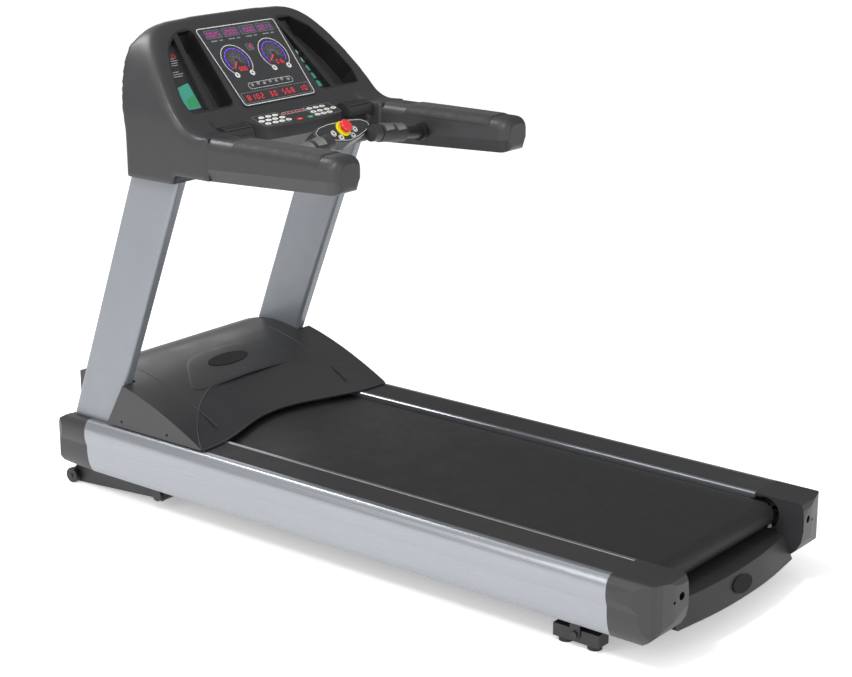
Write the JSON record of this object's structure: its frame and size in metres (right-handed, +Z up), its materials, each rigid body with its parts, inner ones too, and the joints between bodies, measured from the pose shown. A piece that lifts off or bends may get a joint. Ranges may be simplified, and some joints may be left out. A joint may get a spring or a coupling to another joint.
{
  "type": "treadmill",
  "caption": "Motorised running machine: belt deck between side rails, front motor hood, leaning uprights, console with handrails, stop button and front elevation gear.",
  "frame": {"origin": "on the floor, under the middle of the machine's bounding box", "axes": "+X to the user's right, +Y forward from the rear step-on end to the hood and console, +Z up"},
  "size_m": [0.8994, 2.242, 1.484],
  "materials": {
    "silver_paint": "satin silver paint",
    "black_steel": "satin black powder coat",
    "anodised": "satin anodised",
    "bright_steel": "bright",
    "grey_plastic": "fine-textured dark grey",
    "black_plastic": "matt black",
    "gloss_black": "gloss",
    "panel": "satin printed film",
    "belt": "fine diamond emboss",
    "rubber": "matt",
    "pad": "soft textured",
    "board": "waxed phenolic-faced board",
    "motor_steel": "black enamel",
    "heat_sink": "extruded",
    "keys_white": "printed",
    "yellow_plastic": "gloss",
    "red_plastic": "gloss"
  },
  "bodies": {
    "frame": {"frame_weldment": "black_steel", "frame_brackets": "black_steel", "deck_board": "board", "deck_cushions": "rubber", "running_belt": "belt", "roller_axles": "bright_steel", "side_rail_right": "anodised", "side_rail_left": "anodised", "hood_cover_right": "grey_plastic", "hood_cover_left": "grey_plastic", "upright_right": "silver_paint", "upright_left": "silver_paint", "arm_right": "grey_plastic", "arm_left": "grey_plastic", "step_rails": "anodised", "step_pads": "black_plastic", "front_caps": "grey_plastic", "rear_caps": "grey_plastic", "rear_apron": "grey_plastic", "badges": "gloss_black", "hood": "grey_plastic", "hood_visor": "grey_plastic", "console_housing": "grey_plastic", "console_back": "grey_plastic", "pocket_liners": "black_plastic", "display_panel": "panel", "keypad": "grey_plastic", "keypad_keys": "keys_white", "vents": "black_plastic", "arm_caps": "grey_plastic", "arm_pads": "pad", "crossbar": "black_steel", "grips": "grey_plastic", "sensor_plates": "bright_steel", "control_pod": "grey_plastic", "stop_ring": "yellow_plastic", "lift_motor": "motor_steel", "drive_motor": "motor_steel", "drive_belt": "rubber", "motor_controller": "heat_sink", "power_inlet": "black_plastic", "screws": "bright_steel"},
    "rear_roller_body": {"rear_roller": "bright_steel"},
    "front_roller_body": {"front_roller": "bright_steel"},
    "rotor_body": {"motor_rotor": "bright_steel"},
    "lift_frame": {"lift_arm": "black_steel"},
    "wheel_right": {"lift_wheel_right": "black_plastic"},
    "wheel_left": {"lift_wheel_left": "black_plastic"},
    "screw_body": {"lift_screw": "bright_steel"},
    "foot_right": {"foot_bar_right": "black_steel", "foot_pads_right": "rubber"},
    "foot_left": {"foot_bar_left": "black_steel", "foot_pads_left": "rubber"},
    "switch_rocker": {"power_switch": "black_plastic"},
    "stop_stem": {"stop_plunger": "black_plastic"},
    "stop_head": {"stop_button": "red_plastic"},
    "speed_down": {"key_speed_down": "keys_white"},
    "speed_up": {"key_speed_up": "keys_white"},
    "incline_down": {"key_incline_down": "keys_white"},
    "incline_up": {"key_incline_up": "keys_white"}
  },
  "joints": [
    {"name": "front_roller_spin", "type": "hinge", "parent": "frame", "child": "front_roller_body", "pos_m": [0, 0.7, 0.1961], "axis": [1, 0, 0], "continuous": true},
    {"name": "rear_roller_spin", "type": "hinge", "parent": "frame", "child": "rear_roller_body", "pos_m": [0, -0.998, 0.1961], "axis": [1, 0, 0], "continuous": true},
    {"name": "motor_spin", "type": "hinge", "parent": "frame", "child": "rotor_body", "pos_m": [0, 0.915, 0.226], "axis": [1, 0, 0], "continuous": true},
    {"name": "lift_pivot", "type": "hinge", "parent": "frame", "child": "lift_frame", "pos_m": [0, 0.708, 0.048], "axis": [-1, 0, 0], "range_deg": [0, 35]},
    {"name": "lift_screw_slide", "type": "slide", "parent": "frame", "child": "screw_body", "axis": [0, 0, -1], "range_m": [0, 0.047]},
    {"name": "wheel_right_spin", "type": "hinge", "parent": "lift_frame", "child": "wheel_right", "pos_m": [0.392, 1.097, 0.024], "axis": [1, 0, 0], "continuous": true},
    {"name": "wheel_left_spin", "type": "hinge", "parent": "lift_frame", "child": "wheel_left", "pos_m": [-0.392, 1.097, 0.024], "axis": [1, 0, 0], "continuous": true},
    {"name": "foot_right_rock", "type": "hinge", "parent": "frame", "child": "foot_right", "pos_m": [0.375, -0.844, 0.037], "axis": [1, 0, 0], "range_deg": [-12, 12]},
    {"name": "foot_left_rock", "type": "hinge", "parent": "frame", "child": "foot_left", "pos_m": [-0.375, -0.844, 0.037], "axis": [1, 0, 0], "range_deg": [-12, 12]},
    {"name": "switch_rock", "type": "hinge", "parent": "frame", "child": "switch_rocker", "pos_m": [-0.195, 1.07, 0.155], "axis": [1, 0, 0], "range_deg": [0, 14]},
    {"name": "stop_press", "type": "slide", "parent": "frame", "child": "stop_stem", "axis": [0, 0.7497, -0.6617], "range_m": [0, 0.005], "stiffness_N_per_m": 1500},
    {"name": "stop_twist", "type": "hinge", "parent": "stop_stem", "child": "stop_head", "pos_m": [0, 0.27141, 1.18617], "axis": [0, -0.7497, 0.6617], "range_deg": [0, 30], "stiffness_Nm_per_rad": 0.05},
    {"name": "speed_down_press", "type": "slide", "parent": "frame", "child": "speed_down", "axis": [0, 0.7497, -0.6617], "range_m": [0, 0.0012], "stiffness_N_per_m": 400},
    {"name": "speed_up_press", "type": "slide", "parent": "frame", "child": "speed_up", "axis": [0, 0.7497, -0.6617], "range_m": [0, 0.0012], "stiffness_N_per_m": 400},
    {"name": "incline_down_press", "type": "slide", "parent": "frame", "child": "incline_down", "axis": [0, 0.7497, -0.6617], "range_m": [0, 0.0012], "stiffness_N_per_m": 400},
    {"name": "incline_up_press", "type": "slide", "parent": "frame", "child": "incline_up", "axis": [0, 0.7497, -0.6617], "range_m": [0, 0.0012], "stiffness_N_per_m": 400}
  ],
  "couplings": [
    {"joint": "rear_roller_spin", "follows": "front_roller_spin", "ratio": 1},
    {"joint": "motor_spin", "follows": "front_roller_spin", "ratio": 2.4674},
    {"joint": "lift_screw_slide", "follows": "lift_pivot", "m_per_rad": 0.0753}
  ]
}
